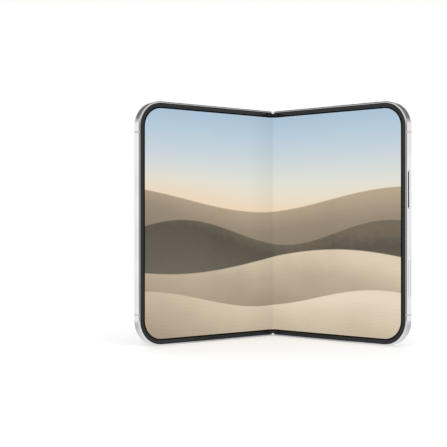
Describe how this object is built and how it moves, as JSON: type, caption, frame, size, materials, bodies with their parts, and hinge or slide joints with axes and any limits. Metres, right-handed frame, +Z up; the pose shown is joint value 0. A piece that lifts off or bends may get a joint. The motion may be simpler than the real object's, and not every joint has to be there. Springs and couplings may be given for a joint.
{
  "type": "foldable smartphone",
  "caption": "Book-style folding phone standing half open, with a folding inner screen, a camera plateau on its white back, and pressable side and top keys.",
  "frame": {"origin": "centre of the bounding box at floor level, with the phone standing half open on its lower edges", "axes": "+Z up along the fold, +X to the viewer's right across the open screen, -Y towards the viewer in front of the inner screen"},
  "size_m": [0.1354, 0.0565, 0.1209],
  "materials": {
    "polished_metal": "mirror-polished frame, rings and keys",
    "white_glass": "glossy opaque white back glass",
    "antenna_plastic": "light grey insulating bands",
    "screen": "folding display under ultra thin glass, with a plain dune-coloured picture",
    "black_glass": "glossy black cover glass",
    "lens_glass": "dark coated lens cover",
    "black_plastic": "matt black mouldings",
    "steel": "hinge steel",
    "dark_steel": "screws, nuts and pins",
    "hinge_alloy": "hinge arms and brackets",
    "brass": "idler gears",
    "copper": "coil windings and ribbon cables",
    "board_green": "circuit boards",
    "battery_wrap": "battery pouches",
    "flash_yellow": "flash lens"
  },
  "bodies": {
    "spine": {"spine_cover": "polished_metal", "spine_end_caps": "polished_metal", "hinge_brackets": "hinge_alloy", "hinge_pins": "steel", "hinge_disc_springs": "steel", "hinge_pin_nuts": "dark_steel", "hinge_bracket_screws": "dark_steel", "fold_support_bar": "steel", "bending_screen": "screen", "hinge_ribbon_cable": "copper"},
    "camera_side_idler": {"camera_side_idler_gears": "brass"},
    "cover_side_idler": {"cover_side_idler_gears": "brass"},
    "camera_side_wing": {"camera_side_wing_plate": "steel"},
    "cover_side_wing": {"cover_side_wing_plate": "steel"},
    "camera_half": {"camera_frame": "polished_metal", "camera_frame_antenna_bands": "antenna_plastic", "camera_side_hinge_arms": "hinge_alloy", "camera_side_arm_screws": "dark_steel", "camera_side_screen": "screen", "camera_side_screen_plate": "steel", "rear_glass": "white_glass", "wide_lens_ring": "polished_metal", "ultrawide_lens_ring": "polished_metal", "wide_lens_glass": "lens_glass", "ultrawide_lens_glass": "lens_glass", "wide_camera_module": "black_plastic", "ultrawide_camera_module": "black_plastic", "flash_lens": "flash_yellow", "rear_microphone": "black_plastic", "main_board": "board_green", "board_shields": "steel", "camera_side_battery": "battery_wrap", "charging_coil": "copper", "magnet_ring": "dark_steel", "usb_c_port": "steel", "loudspeaker": "black_plastic", "vibration_motor": "steel", "bottom_screws": "steel", "side_key_switches": "copper", "volume_key_switches": "copper"},
    "side_button": {"side_button": "polished_metal"},
    "camera_control_key": {"camera_control_key": "polished_metal"},
    "volume_up_key": {"volume_up_key": "polished_metal"},
    "volume_down_key": {"volume_down_key": "polished_metal"},
    "cover_half": {"cover_frame": "polished_metal", "cover_frame_antenna_bands": "antenna_plastic", "cover_side_hinge_arms": "hinge_alloy", "cover_side_arm_screws": "dark_steel", "cover_side_screen": "screen", "cover_side_screen_plate": "steel", "cover_glass": "black_glass", "cover_display_panel": "black_plastic", "front_camera": "black_plastic", "earpiece_speaker": "black_plastic", "cover_side_battery": "battery_wrap", "second_board": "board_green"}
  },
  "joints": [
    {"name": "camera_half_fold", "type": "hinge", "parent": "spine", "child": "camera_half", "pos_m": [0.00195, 0.02493, 0.06], "axis": [0, 0, -1], "range_deg": [-39, 51], "deforming": ["bending_screen", "hinge_ribbon_cable"]},
    {"name": "cover_half_fold", "type": "hinge", "parent": "spine", "child": "cover_half", "pos_m": [-0.00195, 0.02493, 0.06], "axis": [0, 0, 1], "range_deg": [-39, 51], "deforming": ["bending_screen", "hinge_ribbon_cable"]},
    {"name": "camera_side_idler_turn", "type": "hinge", "parent": "spine", "child": "camera_side_idler", "pos_m": [0.0006, 0.02558, 0.06], "axis": [0, 0, 1], "range_deg": [-58.6, 76.6]},
    {"name": "cover_side_idler_turn", "type": "hinge", "parent": "spine", "child": "cover_side_idler", "pos_m": [-0.0006, 0.02558, 0.06], "axis": [0, 0, -1], "range_deg": [-58.6, 76.6]},
    {"name": "camera_side_wing_tilt", "type": "hinge", "parent": "camera_half", "child": "camera_side_wing", "pos_m": [0.00461, 0.02162, 0.06], "axis": [0, 0, -1], "range_deg": [-12.2, 15.9]},
    {"name": "cover_side_wing_tilt", "type": "hinge", "parent": "cover_half", "child": "cover_side_wing", "pos_m": [-0.00461, 0.02162, 0.06], "axis": [0, 0, 1], "range_deg": [-12.2, 15.9]},
    {"name": "side_button_press", "type": "slide", "parent": "camera_half", "child": "side_button", "axis": [-0.7771, 0.6293, 0], "range_m": [0, 0.0003], "stiffness_N_per_m": 3000, "springref_m": -0.0003},
    {"name": "camera_control_key_press", "type": "slide", "parent": "camera_half", "child": "camera_control_key", "axis": [-0.7771, 0.6293, 0], "range_m": [0, 0.0002], "stiffness_N_per_m": 3000, "springref_m": -0.0003},
    {"name": "volume_up_key_press", "type": "slide", "parent": "camera_half", "child": "volume_up_key", "axis": [0, 0, -1], "range_m": [0, 0.0003], "stiffness_N_per_m": 3000, "springref_m": -0.0003},
    {"name": "volume_down_key_press", "type": "slide", "parent": "camera_half", "child": "volume_down_key", "axis": [0, 0, -1], "range_m": [0, 0.0003], "stiffness_N_per_m": 3000, "springref_m": -0.0003}
  ],
  "couplings": [
    {"joint": "cover_half_fold", "follows": "camera_half_fold", "ratio": 1},
    {"joint": "camera_side_idler_turn", "follows": "camera_half_fold", "ratio": 1.5},
    {"joint": "cover_side_idler_turn", "follows": "camera_half_fold", "ratio": 1.5},
    {"joint": "camera_side_wing_tilt", "follows": "camera_half_fold", "ratio": 0.311},
    {"joint": "cover_side_wing_tilt", "follows": "camera_half_fold", "ratio": 0.311}
  ]
}
